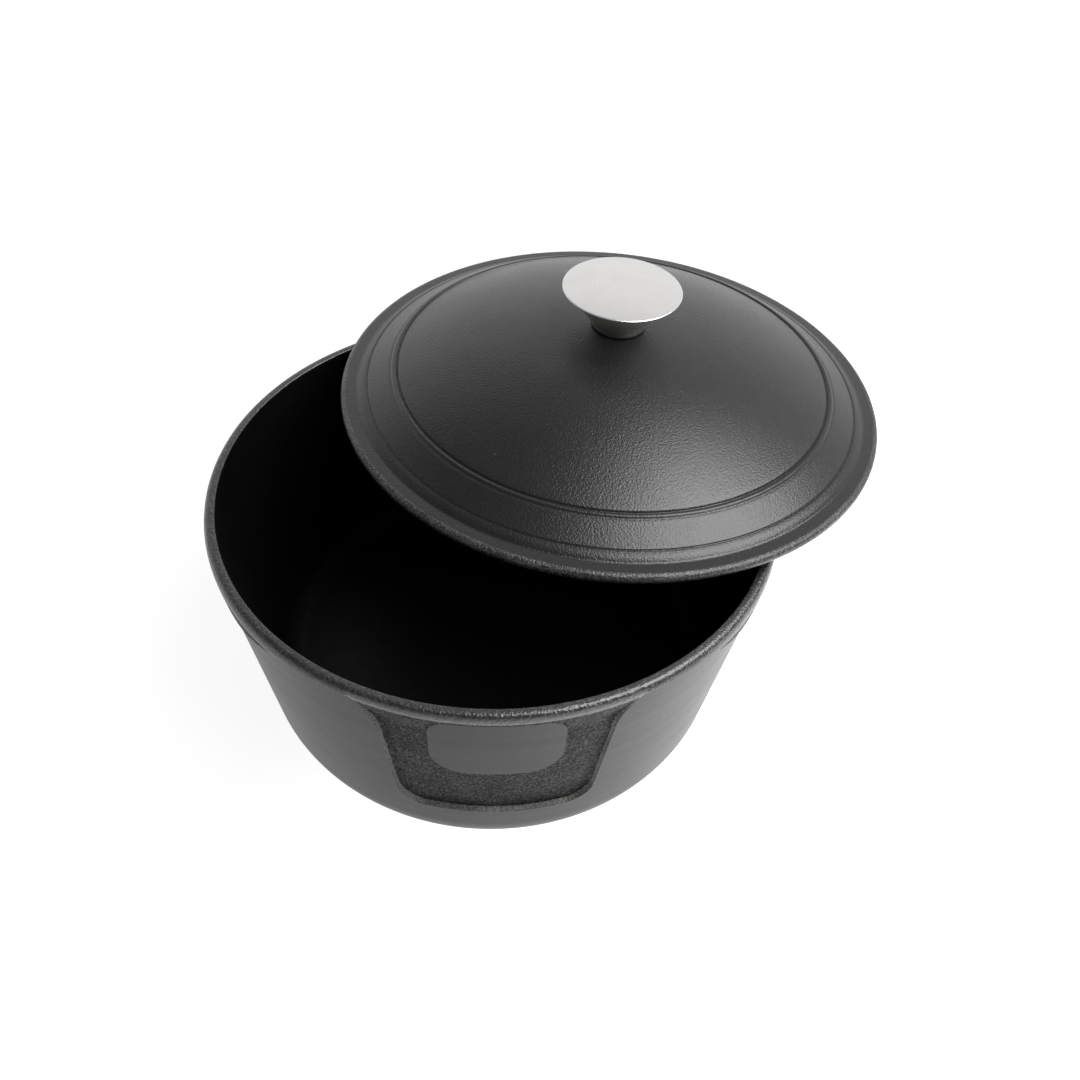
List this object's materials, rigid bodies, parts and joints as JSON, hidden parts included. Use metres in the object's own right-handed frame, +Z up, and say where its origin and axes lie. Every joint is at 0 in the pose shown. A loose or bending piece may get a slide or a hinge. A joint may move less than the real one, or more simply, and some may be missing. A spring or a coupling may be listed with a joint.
{
  "type": "dutch oven",
  "caption": "Round cast iron pot with machined tapered walls and sunk grip panels, and a domed cast iron lid with a trumpet-shaped steel knob, standing ajar.",
  "frame": {"origin": "centre of the pot's flat base, where the pot's axis meets the surface it stands on", "axes": "+Z up along the pot's axis, the two grip panels face -Y and +Y, +X to the right when the front panel is faced"},
  "size_m": [0.3123, 0.3166, 0.1764],
  "materials": {
    "pot_iron": "satin",
    "lid_iron": "matte",
    "gasket_rubber": "matte",
    "knob_dark_steel": "brushed",
    "knob_steel": "satin",
    "fixing_steel": "satin"
  },
  "bodies": {
    "pot": {"pot_body": "pot_iron"},
    "lid_set": {"lid": "lid_iron", "knob_gasket": "gasket_rubber", "knob_cone": "knob_dark_steel", "knob_cap": "knob_steel", "knob_insert": "fixing_steel", "lid_screw": "fixing_steel", "lid_washer": "fixing_steel"}
  },
  "joints": [
    {"name": "lid_lift", "type": "slide", "parent": "pot", "child": "lid_set", "axis": [0, 0, 1], "range_m": [0, 0.12]}
  ]
}
